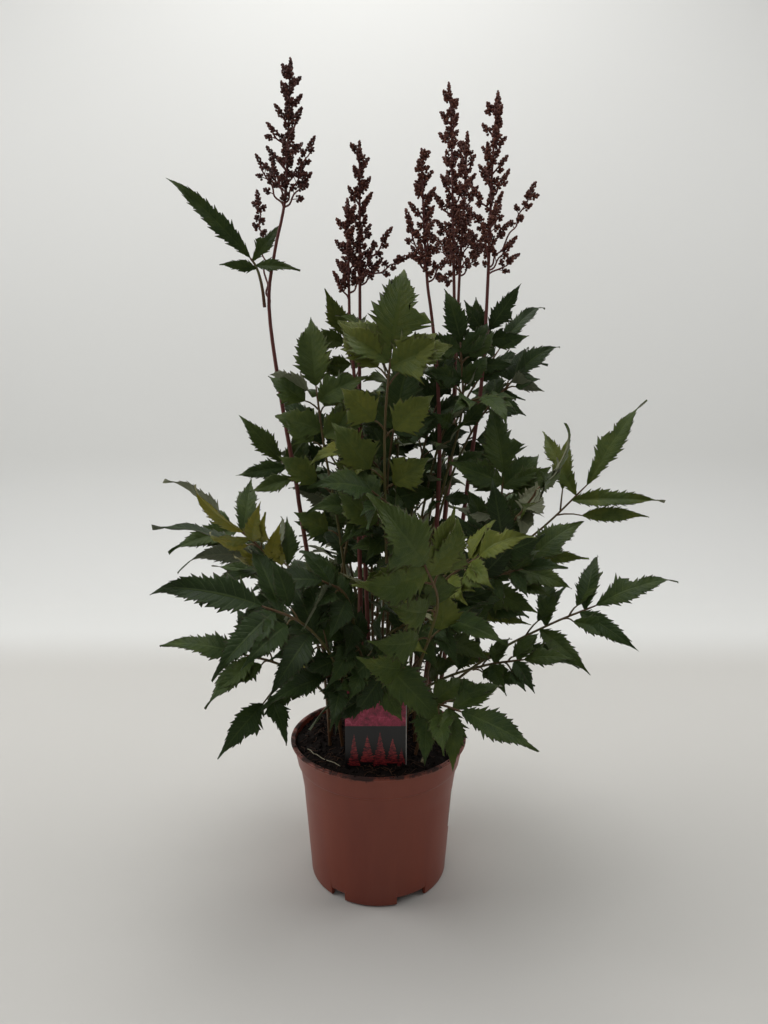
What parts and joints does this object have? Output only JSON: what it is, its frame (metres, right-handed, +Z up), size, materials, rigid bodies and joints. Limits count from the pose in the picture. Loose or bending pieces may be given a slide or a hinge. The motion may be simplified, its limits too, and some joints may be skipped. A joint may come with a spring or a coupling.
{
  "type": "astilbe plant",
  "caption": "Potted astilbe: dark budding flower plumes on reddish stems above toothed compound leaves, in a plastic nursery pot with a plain tag.",
  "frame": {"origin": "centre of the pot's underside, on the surface that it stands on", "axes": "+Z up along the pot's axis; -Y is the front, where the plant tag stands; +X to the right seen from the front"},
  "size_m": [0.445, 0.3469, 0.675],
  "materials": {
    "pot_plastic": "moulded, satin",
    "soil": "loose peat",
    "label_plastic": "printed, satin",
    "sticker_paper": "matt",
    "flower": "matt",
    "leaf": "satin"
  },
  "bodies": {
    "root": {"pot": "pot_plastic", "soil": "soil", "label": "label_plastic", "sticker": "sticker_paper", "flower_left": "flower", "flower_centre": "flower", "flower_centre_low": "flower", "flower_right_inner": "flower", "flower_right_tall": "flower", "flower_right_outer": "flower", "flower_right_back": "flower", "leaf_stem_high": "leaf", "leaf_stem_low": "leaf", "leaf_front_big": "leaf", "leaf_left_big": "leaf", "leaf_left_low": "leaf", "leaf_left_young": "leaf", "leaf_left_dark": "leaf", "leaf_left_far": "leaf", "leaf_olive_left": "leaf", "leaf_olive_centre": "leaf", "leaf_top_left": "leaf", "leaf_top_centre": "leaf", "leaf_top_mid_right": "leaf", "leaf_top_right": "leaf", "leaf_top_far_right": "leaf", "leaf_right_high": "leaf", "leaf_right_small": "leaf", "leaf_right_upright": "leaf", "leaf_right_pale": "leaf", "leaf_far_right_high": "leaf", "leaf_right_mid": "leaf", "leaf_far_right": "leaf", "leaf_right_fan": "leaf", "leaf_right_low": "leaf", "leaf_low_right": "leaf", "leaf_low_left": "leaf", "leaf_left_behind": "leaf", "leaf_mid_small": "leaf", "leaf_mid_left": "leaf", "leaf_mid_deep": "leaf", "leaf_front_pale": "leaf", "leaf_centre_high": "leaf", "leaf_centre_right": "leaf", "leaf_centre_dark": "leaf", "leaf_right_inner": "leaf", "leaf_left_inner": "leaf", "leaf_low_inner_left": "leaf", "leaf_low_inner_right": "leaf", "leaf_back_left_high": "leaf", "leaf_back_high": "leaf", "leaf_back_right_high": "leaf", "leaf_back_right": "leaf", "leaf_back_left": "leaf", "leaf_back_mid_left": "leaf", "leaf_back_mid_right": "leaf", "leaf_back_low_right": "leaf", "leaf_back_low_left": "leaf", "leaf_back_low": "leaf", "leaf_back_top": "leaf"}
  },
  "joints": []
}
